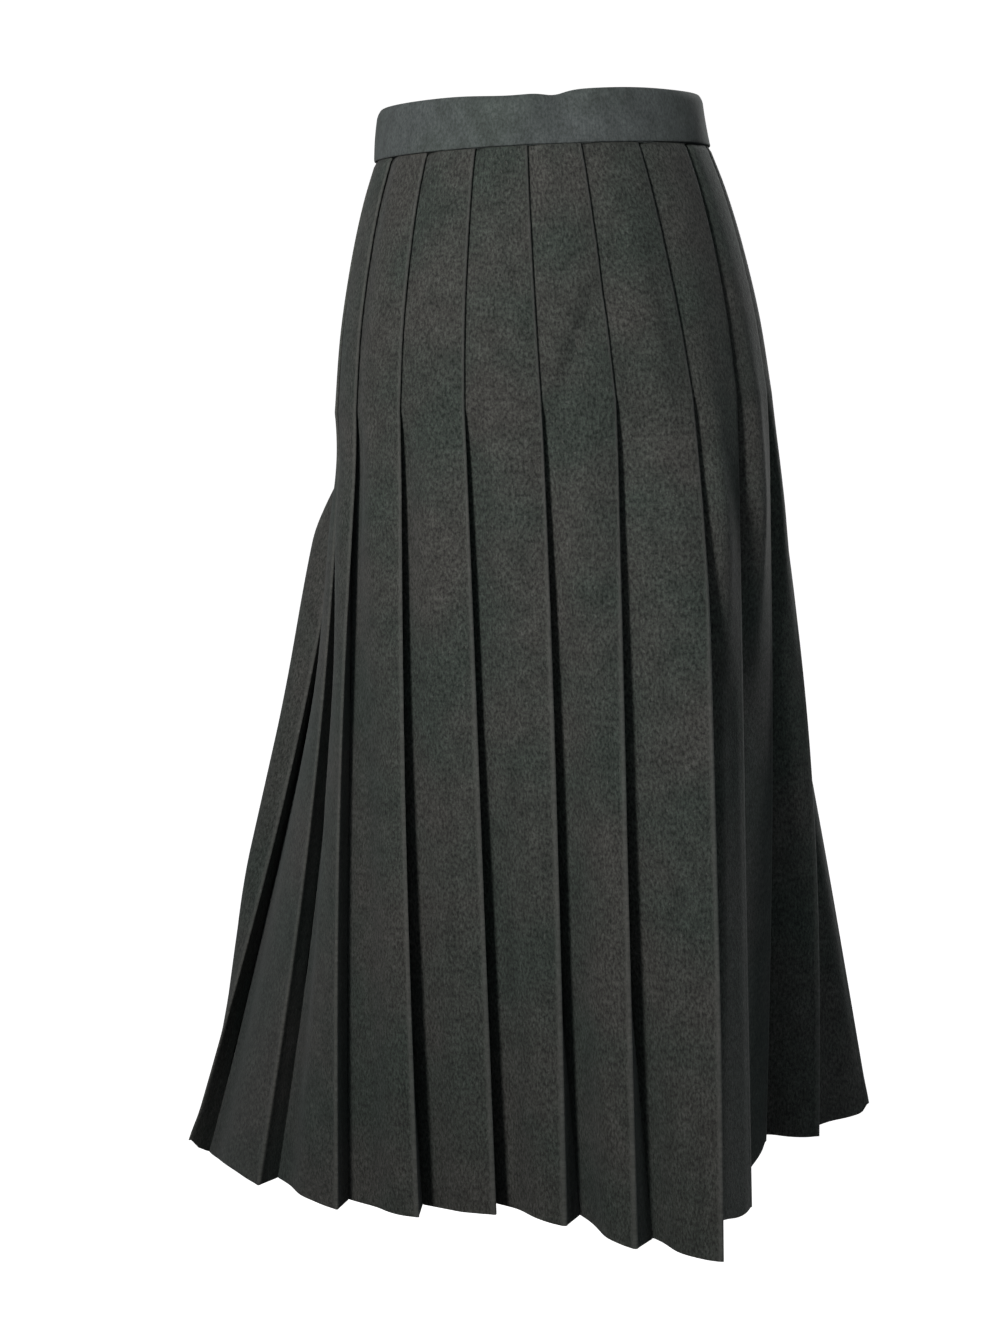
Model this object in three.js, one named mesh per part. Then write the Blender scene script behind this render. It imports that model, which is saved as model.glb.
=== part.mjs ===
// A knee-covering pleated skirt of heavy wool, in the hollow form it keeps when it is worn.
// Millimetres, +Z up. The origin is the middle of the waist's top edge.
// +Y is the back and +X the wearer's left.
import * as THREE from "three";

// Cloth
const CLOTH = 1.1; // thickness of the wool
const LAYER = 1.6; // from the middle of one pressed layer to the next
const SEAM = 0.3; // gap between pieces that are sewn together

// Waistband
const BAND_HEIGHT = 38;
const BAND_THICKNESS = 2.6;
const BAND_TOP = { halfWidth: 120, halfDepth: 94 };
const BAND_FOOT = { halfWidth: 124, halfDepth: 97 };
const LAP_START = -40; // degrees from the left side, where the band's under end starts
const LAP_LENGTH = 18; // degrees that the upper end runs on over the under end
const LAP_MARGIN = 1; // degrees that the under end stays inside beyond the lap
const LAP_EASE = 16; // degrees over which the under end steps inwards
const LAP_GAP = 0.4; // between the two ends
const BAND_STEPS = 90; // around
const BAND_ROUND = 0.9; // rounding of its pressed edges

// Button on the band's upper end
const BUTTON = { radius: 9, thickness: 3.2, bevel: 0.8, sides: 24 };
const BUTTON_ANGLE = -30;
const BUTTON_HEIGHT = 0.5; // its middle, as a share of the band's height
const BUTTON_GAP = 0.8; // between the button and the band
const BUTTON_HOLE = { radius: 1.1, apart: 2 };

// Lengths down from the waist's top edge
const RELEASE = 222; // the pleats are stitched flat down to here
const HEM = 770;
const PLEAT_DEPTH = 26; // how far each pleat folds under itself where it is stitched
const TIP = 1.3; // length of a pressed fold's rounded tip
const TIP_SPREAD = 60; // widest half angle of a rounded tip, degrees
const EASE = 0.1; // share of the free length over which the flare sets in
const OPENING = 0.7; // power by which the pleats open soon below the stitching
const LOOSE_BY = 0.45; // share of the free length by which the panels hang free of the pressed form
const BULGE_BY = 0.18; // share of the free length by which the panels have curved out
const BULGE_AT_HEM = 4; // the most that a panel curves out there
const HANGS_EVEN_FROM = 0.6; // share of the free length below which a wide bulge dies away
const PANEL_OPEN = [0.22, 0.44, 0.64, 0.83]; // places of a free panel's points, as shares of it
const PRESSED_CLEAR = 0.03; // share of a pressed panel that lies flat beside the fold before it
const DIRECTION_STEP = 0.02; // share of a pleat over which the base curve's direction is taken
const MITRE_LIMIT = 0.5; // keeps the wall's corners from growing past twice its thickness

// The body of the skirt between the band and the release, one row for each level
const HIP_LEVELS = [
  { down: BAND_HEIGHT + SEAM, halfWidth: 125, halfDepth: 98 },
  { down: 70, halfWidth: 135, halfDepth: 105 },
  { down: 112, halfWidth: 146, halfDepth: 111 },
  { down: 165, halfWidth: 156.5, halfDepth: 115 },
  { down: RELEASE, halfWidth: 163.5, halfDepth: 117 },
];
// Levels of the free part
const FREE_LEVELS = [262, 306, 356, 414, 484, 566, 662, HEM];

// One row for each pleat's outer fold, counter-clockwise from the left side as seen from above.
// waist, release: angle on the ellipse there, degrees. x, y: place at the hem.
// drop: how much lower the hem is.
// under: length of the part that folds under, at the hem. turn: how far that part has opened there,
// 0 lies flat under the pleat and 90 points inwards. bow: sideways bend of the fold line half way down.
// bulge: how far the panel that hangs free curves out before the fold, half way down.
const PLEATS = [
  { waist: 4, release: 5, x: 239, y: 152, drop: 0, under: 23, turn: 58, bow: -9, bulge: 4 },
  { waist: 25.4, release: 26, x: 179, y: 224, drop: 1, under: 27, turn: 56, bow: 6, bulge: 4 },
  { waist: 46.3, release: 46, x: 122, y: 250, drop: 2, under: 32, turn: 76, bow: 3, bulge: 4 },
  { waist: 66, release: 66, x: 69, y: 256, drop: 1, under: 28, turn: 80, bow: 0, bulge: 4 },
  { waist: 84, release: 86, x: 22, y: 274, drop: 6, under: 26, turn: 86, bow: -2, bulge: 4 },
  { waist: 102, release: 105, x: -24, y: 302, drop: 16, under: 26, turn: 92, bow: 0, bulge: 4 },
  { waist: 123, release: 126, x: -81, y: 320, drop: 22, under: 30, turn: 104, bow: -6, bulge: 4 },
  { waist: 146, release: 144, x: -110, y: 210, drop: 16, under: 28, turn: 76, bow: 0, bulge: 4 },
  { waist: 166, release: 165, x: -132, y: 84, drop: 0, under: 24, turn: 92, bow: -4, bulge: 4 },
  { waist: 187, release: 187, x: -172, y: 76, drop: 2, under: 22, turn: 84, bow: -14, bulge: 4 },
  { waist: 208, release: 208, x: -218, y: 8, drop: 0, under: 28, turn: 96, bow: -4, bulge: 4 },
  { waist: 229, release: 229, x: -201, y: -93, drop: 0, under: 28, turn: 84, bow: 0, bulge: 4 },
  { waist: 248, release: 248, x: -126, y: -170, drop: 0, under: 28, turn: 76, bow: 0, bulge: 4 },
  { waist: 266, release: 266, x: -34, y: -212, drop: 0, under: 28, turn: 82, bow: 0, bulge: 4 },
  { waist: 284, release: 284, x: 72, y: -216, drop: 0, under: 28, turn: 78, bow: 0, bulge: 4 },
  { waist: 303, release: 303, x: 176, y: -184, drop: 0, under: 28, turn: 84, bow: 0, bulge: 4 },
  { waist: 323, release: 323, x: 264, y: -102, drop: 0, under: 28, turn: 80, bow: 16, bulge: 4 },
  { waist: 344, release: 344, x: 302, y: 17, drop: 0, under: 24, turn: 28, bow: -12, bulge: 29 },
];

// The cut pieces and the pleats in each; every seam lies out of sight on a part that folds under
const CUT = [
  { name: "skirt_back_left", first: 0, pleats: 5 },
  { name: "skirt_back_right", first: 5, pleats: 5 },
  { name: "skirt_front_right", first: 10, pleats: 4 },
  { name: "skirt_front_left", first: 14, pleats: 4 },
];

const WOOL_COLOUR = 0x3f3d3a;
const BAND_COLOUR = 0x3a3c3e;
const BUTTON_COLOUR = 0x1d1b19;

const radians = THREE.MathUtils.degToRad;
const { lerp, smoothstep } = THREE.MathUtils;
const count = PLEATS.length;
const wool = new THREE.MeshStandardMaterial({ color: WOOL_COLOUR, roughness: 0.95, metalness: 0 });
const bandWool = new THREE.MeshStandardMaterial({ color: BAND_COLOUR, roughness: 0.9, metalness: 0 });
const horn = new THREE.MeshStandardMaterial({ color: BUTTON_COLOUR, roughness: 0.35, metalness: 0 });

// A pleat's row, with its angles counted on past a full turn
function pleat(i) {
  const turns = Math.floor(i / count);
  const row = PLEATS[i - turns * count];
  return { ...row, waist: row.waist + 360 * turns, release: row.release + 360 * turns };
}

// A value of the table between two pleats, k = 2.5 being half way from pleat 2 to pleat 3
function between(k, name) {
  const i = Math.floor(k);
  return lerp(pleat(i)[name], pleat(i + 1)[name], k - i);
}

// The same on a smooth curve through all rows
function smooth(k, name) {
  const i = Math.floor(k);
  const s = k - i;
  const [a, b, c, d] = [-1, 0, 1, 2].map((step) => pleat(i + step)[name]);
  return b + 0.5 * s * (c - a + s * (2 * a - 5 * b + 4 * c - d + s * (3 * (b - c) + d - a)));
}

// All that depends on the level: its height, the two half axes and how far the pleats have flared and opened
function levels() {
  const stitched = HIP_LEVELS.map((level) => ({ ...level, flare: 0, open: 0 }));
  const hip = HIP_LEVELS[HIP_LEVELS.length - 1];
  const free = FREE_LEVELS.map((down) => {
    const open = (down - RELEASE) / (HEM - RELEASE);
    const run = open < EASE ? (open * open) / (2 * EASE) : open - EASE / 2;
    return { ...hip, down, open, flare: run / (1 - EASE / 2) };
  });
  return [...stitched, ...free];
}

// The smooth curve that the outer folds stand on
function base(level, k) {
  const along = (level.down - BAND_HEIGHT) / (RELEASE - BAND_HEIGHT);
  const angle = radians(lerp(between(k, "waist"), between(k, "release"), Math.min(1, along)));
  const bow = smooth(k, "bow") * Math.sin(Math.PI * level.open);
  return new THREE.Vector2(
    lerp(level.halfWidth * Math.cos(angle), smooth(k, "x"), level.flare) + bow,
    lerp(level.halfDepth * Math.sin(angle), smooth(k, "y"), level.flare),
  );
}

// A point at k on that curve, moved out by h
function onBase(level, k, h) {
  const along = base(level, k + DIRECTION_STEP).sub(base(level, k - DIRECTION_STEP)).normalize();
  return base(level, k).add(new THREE.Vector2(along.y, -along.x).multiplyScalar(h));
}

// How far the pleats have come away from their pressed form at a level, 0 to 1
function looseness(level) {
  return smoothstep(level.open, 0, LOOSE_BY);
}

// How far a free panel curves out between its folds: as its row says, and less towards the hem
function bulge(level, i) {
  const row = pleat(i);
  const hanging = smoothstep(level.open, HANGS_EVEN_FROM, 1);
  const full = lerp(row.bulge, Math.min(row.bulge, BULGE_AT_HEM), hanging);
  return full * smoothstep(level.open, 0, BULGE_BY);
}

// The curve of a free panel, s running from 0 to 1 across it: 1 at its highest, two thirds of the way
function hump(s) {
  return (27 / 4) * s * s * (1 - s);
}

// The part of pleat i that folds under: its end as a place k and a depth h, and its middle and end points
function underFold(level, i) {
  const row = pleat(i);
  const length = lerp(PLEAT_DEPTH, row.under, level.open);
  const angle = radians(row.turn * level.open ** OPENING);
  const forward = Math.cos(angle) < 0 ? 1 : 0;
  const spacing = base(level, i + forward).distanceTo(base(level, i + forward - 1));
  const k = i - (length * Math.cos(angle)) / spacing;
  const h = -1.5 * LAYER - length * Math.sin(angle);
  const tip = onBase(level, k, h);
  const straight = onBase(level, i, -LAYER / 2).lerp(tip, 0.5);
  const curved = onBase(level, lerp(i, k, 0.5), h / 2 - LAYER / 4);
  return { k, h, tip, middle: curved.lerp(straight, looseness(level)) };
}

// A pressed fold's tip as three points; side is 1 where the cloth turns left and -1 where it turns right
function foldTip(tip, from, to, side) {
  const a = from.clone().sub(tip).normalize();
  const b = to.clone().sub(tip).normalize();
  const inwards = a.clone().add(b).normalize();
  const half = Math.min(Math.acos(THREE.MathUtils.clamp(a.dot(inwards), -1, 1)), radians(TIP_SPREAD));
  const apart = Math.max(LAYER / 2, TIP * Math.tan(half));
  const across = new THREE.Vector2(-inwards.y, inwards.x).multiplyScalar(side * apart);
  const back = tip.clone().addScaledVector(inwards, TIP);
  return [back.clone().add(across), tip.clone(), back.clone().sub(across)];
}

// The middle line of pleat i at one level, from the tip that it starts at to its outer fold.
// entry is the end of the part before it, and exit the start of the part that folds under.
function pleatLine(level, i) {
  const before = underFold(level, i - 1);
  const under = underFold(level, i);
  const outerTip = onBase(level, i, -LAYER / 2);
  const length = i - before.k;
  const clear = (i - 1 - before.k) / length;
  const risen = Math.max((under.k - before.k) / length, clear);
  const pressed = [
    { share: clear + PRESSED_CLEAR, rise: 0 },
    { share: lerp(clear, risen, 0.5), rise: 0.5 },
    { share: risen, rise: 1 },
    { share: lerp(risen, 1, 0.5), rise: 1 },
  ];
  const across = outerTip.clone().sub(before.tip);
  const outwards = new THREE.Vector2(across.y, -across.x).normalize();
  const panel = pressed.map(({ share, rise }, n) => {
    const flat = onBase(level, lerp(before.k, i, share), lerp(before.h - LAYER / 2, 0, rise));
    const s = PANEL_OPEN[n];
    const hanging = before.tip.clone().addScaledVector(across, s);
    return flat.lerp(hanging, looseness(level)).addScaledVector(outwards, hump(s) * bulge(level, i));
  });
  const [entry, inner, innerSide] = foldTip(before.tip, before.middle, panel[0], -1);
  const [outerSide, outer, exit] = foldTip(outerTip, panel[3], under.middle, 1);
  return { entry, exit, points: [inner, innerSide, ...panel, outerSide, outer, exit] };
}

// The middle line of a cut piece at one level, with half of a folded part at each end
function pieceLine(level, first, pleats) {
  const points = [];
  const add = (at, k) => points.push({ at, k });
  const seam = (i, from, to) => {
    const { middle } = underFold(level, i);
    return middle.clone().add(to.clone().sub(from).setLength(SEAM / 2));
  };
  for (let i = first; i < first + pleats; i += 1) {
    const { entry, exit, points: line } = pleatLine(level, i);
    const { middle } = underFold(level, i);
    if (i === first) add(seam(i - 1, pleatLine(level, i - 1).exit, entry), i - 1);
    add(entry, i - 1);
    line.forEach((at, n) => add(at, lerp(i - 1, i, n / (line.length - 1))));
    const isLast = i === first + pleats - 1;
    add(isLast ? seam(i, pleatLine(level, i + 1).entry, exit) : middle, i);
  }
  return points;
}

// Moves an open line sideways, outwards for a positive distance
function offsetLine(points, distance) {
  return points.map((p, n) => {
    const before = points[Math.max(0, n - 1)];
    const after = points[Math.min(points.length - 1, n + 1)];
    const a = n > 0 ? p.clone().sub(before).normalize() : after.clone().sub(p).normalize();
    const b = n < points.length - 1 ? after.clone().sub(p).normalize() : a.clone();
    const along = a.clone().add(b).normalize();
    const out = new THREE.Vector2(along.y, -along.x);
    const reach = distance / Math.max(MITRE_LIMIT, along.dot(a));
    return p.clone().addScaledVector(out, reach);
  });
}

// A closed mesh from rows of sections, each section a closed loop of the same number of points
function loft(sections, material, name) {
  const around = sections[0].length;
  const positions = sections.flat().flatMap((p) => [p.x, p.y, p.z]);
  const index = [];
  const half = around / 2;
  const quad = (a, b, c, d) => index.push(a, b, c, a, c, d);
  const facingQuad = (a, b, c, d) => index.push(a, b, d, b, c, d);
  for (let r = 0; r + 1 < sections.length; r += 1) {
    for (let n = 0; n < around; n += 1) {
      const m = (n + 1) % around;
      const side = n < half ? quad : facingQuad;
      side(r * around + n, (r + 1) * around + n, (r + 1) * around + m, r * around + m);
    }
  }
  const cap = (row, flip) => {
    for (let n = 0; n + 1 < half; n += 1) {
      const ring = [n, n + 1, around - 2 - n, around - 1 - n].map((v) => row * around + v);
      if (flip) ring.reverse();
      quad(...ring);
    }
  };
  cap(0, false);
  cap(sections.length - 1, true);
  const geometry = new THREE.BufferGeometry();
  geometry.setAttribute("position", new THREE.Float32BufferAttribute(positions, 3));
  geometry.setIndex(index);
  geometry.computeVertexNormals();
  const mesh = new THREE.Mesh(geometry, material);
  mesh.name = name;
  return mesh;
}

// One cut piece of the pleated body
function skirtPiece({ name, first, pleats }) {
  const sections = levels().map((level) => {
    const line = pieceLine(level, first, pleats);
    const middle = line.map((p) => p.at);
    const height = (k) => -level.down - Math.max(0, smooth(k, "drop")) * level.open;
    const raise = (p, n) => new THREE.Vector3(p.x, p.y, height(line[n].k));
    const outer = offsetLine(middle, CLOTH / 2).map(raise);
    const inner = offsetLine(middle, -CLOTH / 2).map(raise);
    return [...outer, ...inner.reverse()];
  });
  return loft(sections, wool, name);
}

// The waistband: a flat strip once round the waist, its upper end lapping over its under end
function waistband() {
  const steps = Array.from({ length: BAND_STEPS + 1 }, (_, n) => n / BAND_STEPS);
  const stepIn = BAND_THICKNESS + LAP_GAP;
  const sections = steps.map((s) => {
    const turned = s * (360 + LAP_LENGTH);
    const angle = radians(LAP_START + turned);
    const stepFrom = LAP_LENGTH + LAP_MARGIN;
    const inset = stepIn * (1 - smoothstep(turned, stepFrom, stepFrom + LAP_EASE));
    const at = (down, out) => {
      const share = down / BAND_HEIGHT;
      const a = lerp(BAND_TOP.halfWidth, BAND_FOOT.halfWidth, share);
      const b = lerp(BAND_TOP.halfDepth, BAND_FOOT.halfDepth, share);
      const p = new THREE.Vector2(a * Math.cos(angle), b * Math.sin(angle));
      const normal = new THREE.Vector2(b * Math.cos(angle), a * Math.sin(angle)).normalize();
      p.addScaledVector(normal, out - inset);
      return new THREE.Vector3(p.x, p.y, -down);
    };
    const foot = BAND_HEIGHT;
    const outer = [
      at(0, -BAND_ROUND),
      at(BAND_ROUND, 0),
      at(foot - BAND_ROUND, 0),
      at(foot, -BAND_ROUND),
    ];
    const inner = [
      at(foot, BAND_ROUND - BAND_THICKNESS),
      at(foot - BAND_ROUND, -BAND_THICKNESS),
      at(BAND_ROUND, -BAND_THICKNESS),
      at(0, BAND_ROUND - BAND_THICKNESS),
    ];
    return [...outer, ...inner].reverse();
  });
  return loft(sections, bandWool, "waistband");
}

// The four-hole button that fastens the band
function button() {
  const outline = new THREE.Shape();
  outline.absarc(0, 0, BUTTON.radius, 0, 2 * Math.PI, false);
  for (let n = 0; n < 4; n += 1) {
    const angle = radians(45 + 90 * n);
    const reach = BUTTON_HOLE.apart * Math.SQRT2;
    const hole = new THREE.Path();
    hole.absarc(reach * Math.cos(angle), reach * Math.sin(angle), BUTTON_HOLE.radius, 0, 2 * Math.PI, true);
    outline.holes.push(hole);
  }
  const geometry = new THREE.ExtrudeGeometry(outline, {
    depth: BUTTON.thickness - 2 * BUTTON.bevel,
    bevelThickness: BUTTON.bevel,
    bevelSize: BUTTON.bevel,
    bevelOffset: -BUTTON.bevel,
    bevelSegments: 2,
    curveSegments: BUTTON.sides / 4,
  });
  const mesh = new THREE.Mesh(geometry, horn);
  mesh.name = "button";
  const angle = radians(BUTTON_ANGLE);
  const a = lerp(BAND_TOP.halfWidth, BAND_FOOT.halfWidth, BUTTON_HEIGHT);
  const b = lerp(BAND_TOP.halfDepth, BAND_FOOT.halfDepth, BUTTON_HEIGHT);
  const normal = new THREE.Vector3(b * Math.cos(angle), a * Math.sin(angle), 0).normalize();
  normal.z = (BAND_FOOT.halfWidth - BAND_TOP.halfWidth) / BAND_HEIGHT;
  normal.normalize();
  mesh.quaternion.setFromUnitVectors(new THREE.Vector3(0, 0, 1), normal);
  mesh.position.set(a * Math.cos(angle), b * Math.sin(angle), -BAND_HEIGHT * BUTTON_HEIGHT);
  mesh.position.addScaledVector(normal, BUTTON.bevel + BUTTON_GAP);
  return mesh;
}

const skirt = new THREE.Group();
skirt.add(...CUT.map(skirtPiece));
skirt.add(waistband());
skirt.add(button());

export default skirt;
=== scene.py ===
"""Dresses the pleated skirt: wool shells over its four cut pieces, its waistband, its button and a studio.

Metres, +Z up. The origin is the middle of the waist's top edge, +Y is the back and +X the wearer's left.
"""

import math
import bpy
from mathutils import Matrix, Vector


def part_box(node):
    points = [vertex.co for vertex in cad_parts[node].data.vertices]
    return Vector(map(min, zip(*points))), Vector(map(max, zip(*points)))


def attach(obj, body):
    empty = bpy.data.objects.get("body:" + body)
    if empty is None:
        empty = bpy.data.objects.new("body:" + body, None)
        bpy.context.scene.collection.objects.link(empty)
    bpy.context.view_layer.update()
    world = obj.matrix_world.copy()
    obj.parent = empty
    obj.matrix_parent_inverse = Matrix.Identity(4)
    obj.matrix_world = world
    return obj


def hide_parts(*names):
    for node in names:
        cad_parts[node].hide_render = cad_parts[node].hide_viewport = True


bl_info = {
    "name": "Pleated wool skirt",
    "version": (1, 0, 0),
    "blender": (4, 5, 0),
    "location": "3D View > Sidebar > Skirt",
    "description": "Builds the cloth, the waistband and the button of a pleated midi skirt, and its studio",
    "category": "Object",
}

from collections import namedtuple

import bpy
from bpy.props import FloatProperty, FloatVectorProperty, IntProperty, PointerProperty
from mathutils import Matrix, Vector

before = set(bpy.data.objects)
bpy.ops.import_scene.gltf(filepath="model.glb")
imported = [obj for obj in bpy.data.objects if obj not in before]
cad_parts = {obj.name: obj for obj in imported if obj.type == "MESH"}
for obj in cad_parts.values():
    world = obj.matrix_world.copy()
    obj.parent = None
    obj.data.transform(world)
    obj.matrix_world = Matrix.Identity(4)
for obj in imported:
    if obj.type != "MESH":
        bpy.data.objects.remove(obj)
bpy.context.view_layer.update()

# Cloth: its thickness, what a folded layer takes up, the gap at a seam, how far the top edge is tucked in
# under the waistband, and how far below that edge its extra rows are
CLOTH = 0.0011
LAYER = 0.0016
SEAM = 0.0003
SEAM_TUCK = 0.0009
SEAM_ROWS = (0.0015, 0.004)

# Waistband: its height, thickness and length once round, and the half width and half depth of its two edges
BAND_HEIGHT = 0.038
BAND_THICKNESS = 0.0026
BAND_LENGTH = 0.69
BAND_TOP = (0.1205, 0.0945)
BAND_FOOT = (0.1254, 0.0984)

# Its edges are rounded, and its top edge rolls in
BAND_ROUND = 0.0011
BAND_ROLL = 0.0024
BAND_ROLL_HEIGHT = 0.007

# Its faces along it, down it and round an edge
BAND_STEPS = 300
BAND_ROWS = 14
BAND_ROUND_STEPS = 4

# Its foot is thicker inside, where the cloth's allowance lies: it thickens between these lengths down, and
# thins out between these degrees before the lap's outer end
BAND_ALLOWANCE = 0.0030
ALLOWANCE_AT = (0.6 * BAND_HEIGHT, 0.9 * BAND_HEIGHT)
ALLOWANCE_ENDS = (350, 358)

# The lap in degrees round the waist: its start, its length and the stretch over which it steps out, with the
# gap that it has beside a seam's; then the button's place
LAP_START = -40
LAP_LENGTH = 18
LAP_EASE = 16
LAP_CLEAR = 0.0001
BUTTON_ANGLE = -30

# The waistband's wear over the back, in degrees from the spine: a hollow, edges that dip, and faint waves
SPINE = 91
HOLLOW_AT = 5
HOLLOW_WIDE = 6.5
HOLLOW_LESS_AT_FOOT = 0.65
Dip = namedtuple("Dip", "at wide lower")
BAND_DIPS = (Dip(3, 5, 0.0024), Dip(-12, 14, 0.0020), Dip(30, 22, -0.0014))
Wave = namedtuple("Wave", "out times start")
BAND_WAVES = (Wave(0.0006, 5, 0.6), Wave(0.0005, 9, 2.1))

# Thread through the button: its radius, the gap between its turns, where its holes are and how it rises
THREAD_RADIUS = 0.0003
THREAD_GAP = 0.0004
HOLE_FROM_MIDDLE = 0.002
THREAD_LOW = 0.0005
THREAD_RISE = 0.0011
THREAD_STEPS = 8

# Lengths down from the waist's top edge: where the pleats' stitching ends, and the hem
RELEASE = 0.222
HEM = 0.770

# Pleats: how deep they fold at the waist, the size of their folds where pressed and where loose, and the
# widest half angle that a fold's tip is rounded for
PLEAT_DEPTH = 0.026
TIP = 0.0013
SOFT_TIP = 0.0026
WIDEST_FOLD = math.radians(60)

# Shares of the free length: the flare eases in, the folds come loose and the panels curve out over the first
# three, and from the last the panels' curve goes down to the one at the hem
EASE = 0.1
LOOSE_BY = 0.45
BULGE_BY = 0.18
HANGS_EVEN_FROM = 0.6
BULGE_AT_HEM = 0.004

# The power of that share by which the folds open
OPENING = 0.7

# Shares of a panel's width: the points of a loose panel, and how far past the fold before it a pressed one
# starts
PANEL_OPEN = (0.22, 0.44, 0.64, 0.83)
PRESSED_CLEAR = 0.03

# Cloth that a pleat is counted as, and the places along it: inner fold, panel, outer fold, and the part under
PLEAT_CLOTH = 0.1
INNER_AT = 0.05
PANEL_AT = (0.1, 0.72)
FOLD_AT = 0.74
UNDER_AT = 0.76
MIDDLE_AT = 0.87

# Rows of the smooth body down to the release: how far down, half width, half depth
HIP_LEVELS = (
    (BAND_HEIGHT + SEAM, 0.1240, 0.0970),
    (0.070, 0.1350, 0.1050),
    (0.112, 0.1460, 0.1110),
    (0.165, 0.1565, 0.1150),
    (RELEASE, 0.1635, 0.1170),
)

# One row for each pleat's outer fold, counter-clockwise from the left side as seen from above.
# waist, release: angle on the ellipse there. x, y: place at the hem. drop: how much lower the hem is.
# under: length of the part that folds under, at the hem. turn: how far it has opened there, in degrees.
# bow: sideways bend of the fold line half way down. bulge: how far the free panel before it curves out.
Pleat = namedtuple("Pleat", "waist release x y drop under turn bow bulge")
PLEATS = (
    Pleat(4, 5, 0.239, 0.152, 0.000, 0.023, 58, -0.009, 0.004),
    Pleat(25.4, 26, 0.179, 0.224, 0.001, 0.027, 56, 0.006, 0.004),
    Pleat(46.3, 46, 0.122, 0.250, 0.002, 0.032, 76, 0.003, 0.004),
    Pleat(66, 66, 0.069, 0.256, 0.001, 0.028, 80, 0.000, 0.004),
    Pleat(84, 86, 0.022, 0.274, 0.006, 0.026, 86, -0.002, 0.004),
    Pleat(102, 105, -0.024, 0.302, 0.016, 0.026, 92, 0.000, 0.004),
    Pleat(123, 126, -0.081, 0.320, 0.022, 0.030, 104, -0.006, 0.004),
    Pleat(146, 144, -0.110, 0.210, 0.016, 0.028, 76, 0.000, 0.004),
    Pleat(166, 165, -0.132, 0.084, 0.000, 0.024, 92, -0.004, 0.004),
    Pleat(187, 187, -0.172, 0.076, 0.002, 0.022, 84, -0.014, 0.004),
    Pleat(208, 208, -0.218, 0.008, 0.000, 0.028, 96, -0.004, 0.004),
    Pleat(229, 229, -0.201, -0.093, 0.000, 0.028, 84, 0.000, 0.004),
    Pleat(248, 248, -0.126, -0.170, 0.000, 0.028, 76, 0.000, 0.004),
    Pleat(266, 266, -0.034, -0.212, 0.000, 0.028, 82, 0.000, 0.004),
    Pleat(284, 284, 0.072, -0.216, 0.000, 0.028, 78, 0.000, 0.004),
    Pleat(303, 303, 0.176, -0.184, 0.000, 0.028, 84, 0.000, 0.004),
    Pleat(323, 323, 0.264, -0.102, 0.000, 0.028, 80, 0.016, 0.004),
    Pleat(344, 344, 0.302, 0.017, 0.000, 0.024, 28, -0.012, 0.029),
)
COUNT = len(PLEATS)

# Where the hem hangs lower, or higher below zero: the place along the cloth in pleats, how wide it is, how
# far up the cloth it is felt, and by how much
Hang = namedtuple("Hang", "along wide tall lower")
HANGS = (
    Hang(17.74, 0.07, 0.030, -0.005),
    Hang(18.08, 0.28, 0.200, 0.012),
    Hang(10.74, 0.06, 0.030, -0.005),
    Hang(7.30, 0.22, 0.120, -0.012),
    Hang(8.60, 0.15, 0.060, 0.003),
)

# The cut pieces: their names here and in the frame, their first pleat and their number of pleats
Cut = namedtuple("Cut", "name node first pleats")
CUT = (
    Cut("cloth_back_left", "skirt_back_left", 0, 5),
    Cut("cloth_back_right", "skirt_back_right", 5, 5),
    Cut("cloth_front_right", "skirt_front_right", 10, 4),
    Cut("cloth_front_left", "skirt_front_left", 14, 4),
)

# Soft forms of the whole layered cloth: where along the pleats, how far down, how wide and tall, how far out,
# and how far they lean along the pleats over their height. They come in over this length below the waistband.
FORMS_IN = 0.03
Form = namedtuple("Form", "k down wide tall out lean")
FORMS = (
    Form(4.60, 0.182, 0.15, 0.040, -0.0065, -0.34),
    Form(5.60, 0.185, 0.23, 0.080, 0.0046, 0.05),
    Form(4.10, 0.300, 0.35, 0.070, -0.0020, 0.1),
    Form(3.50, 0.230, 0.30, 0.060, 0.0016, 0.2),
    Form(6.20, 0.310, 0.45, 0.130, 0.0090, 0.0),
    Form(7.5, 0.300, 0.20, 0.100, 0.0035, 0.0),
    Form(1.5, 0.300, 0.40, 0.070, -0.0015, 0.0),
    Form(12.5, 0.190, 0.22, 0.060, -0.0030, 0.4),
    Form(15.4, 0.200, 0.30, 0.070, 0.0024, -0.2),
    Form(9.4, 0.120, 0.30, 0.040, -0.0010, 0.0),
    Form(3.4, 0.090, 0.60, 0.035, -0.0012, 0.0),
)

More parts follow.
